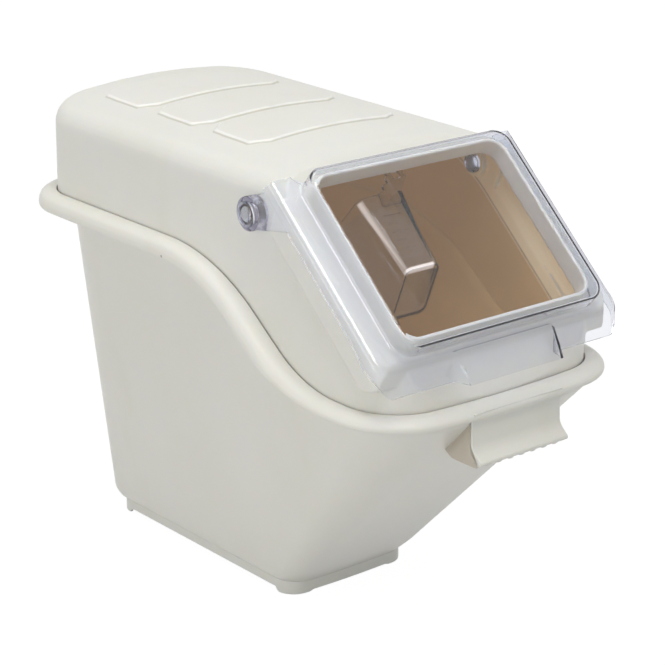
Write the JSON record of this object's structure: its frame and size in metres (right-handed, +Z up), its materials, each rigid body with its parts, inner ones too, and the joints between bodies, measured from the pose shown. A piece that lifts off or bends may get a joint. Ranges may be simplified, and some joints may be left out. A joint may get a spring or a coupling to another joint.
{
  "type": "rice bin",
  "caption": "Slope-fronted storage bin with a lift-off hood, a clear flip lid over its front opening and a clear scoop hung inside.",
  "frame": {"origin": "on the floor under the middle of the bin", "axes": "+Z up; the sloping front and pull handle face -Y; X runs across the bin"},
  "size_m": [0.298, 0.5695, 0.4355],
  "materials": {
    "ivory_plastic": "satin moulded",
    "clear_plastic": "polished clear"
  },
  "bodies": {
    "tub": {"tub": "ivory_plastic"},
    "hood": {"hood": "ivory_plastic", "left_pivot_plug": "clear_plastic", "right_pivot_plug": "clear_plastic", "scoop_hook": "ivory_plastic"},
    "flip_lid": {"flip_lid": "clear_plastic"},
    "scoop": {"scoop": "clear_plastic"}
  },
  "joints": [
    {"name": "hood_lift", "type": "slide", "parent": "tub", "child": "hood", "axis": [0, 0, 1], "range_m": [0, 0.06]},
    {"name": "lid_hinge", "type": "hinge", "parent": "hood", "child": "flip_lid", "pos_m": [0, -0.083, 0.391], "axis": [-1, 0, 0], "range_deg": [0, 80]},
    {"name": "scoop_lift", "type": "slide", "parent": "hood", "child": "scoop", "axis": [0, 0, 1], "range_m": [0, 0.008]}
  ]
}
